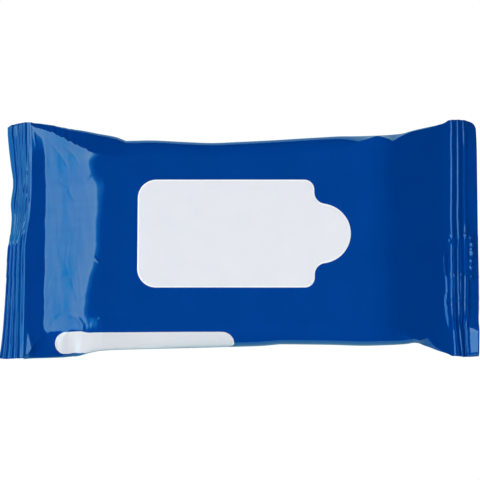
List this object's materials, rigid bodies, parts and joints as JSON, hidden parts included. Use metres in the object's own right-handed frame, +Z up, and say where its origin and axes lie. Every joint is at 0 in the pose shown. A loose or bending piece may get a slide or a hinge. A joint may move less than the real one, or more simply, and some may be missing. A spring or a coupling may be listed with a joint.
{
  "type": "wet wipes pack",
  "caption": "Flat flow-wrapped film pack of moist wipes with crimped end seals, a fin seal folded along the back and a peel-and-reseal label with a thumb tab over the opening.",
  "frame": {"origin": "centre of the pack's box in plan, on the surface that the pack lies on", "axes": "+X along the pack's length towards the label's thumb tab, +Z up out of the labelled face, +Y across the width"},
  "size_m": [0.1494, 0.0768, 0.0162],
  "materials": {
    "film": "glossy printed film, deep blue, softly creased",
    "label": "smooth white film label"
  },
  "bodies": {
    "root": {"film_pack": "film", "reseal_label": "label"}
  },
  "joints": []
}
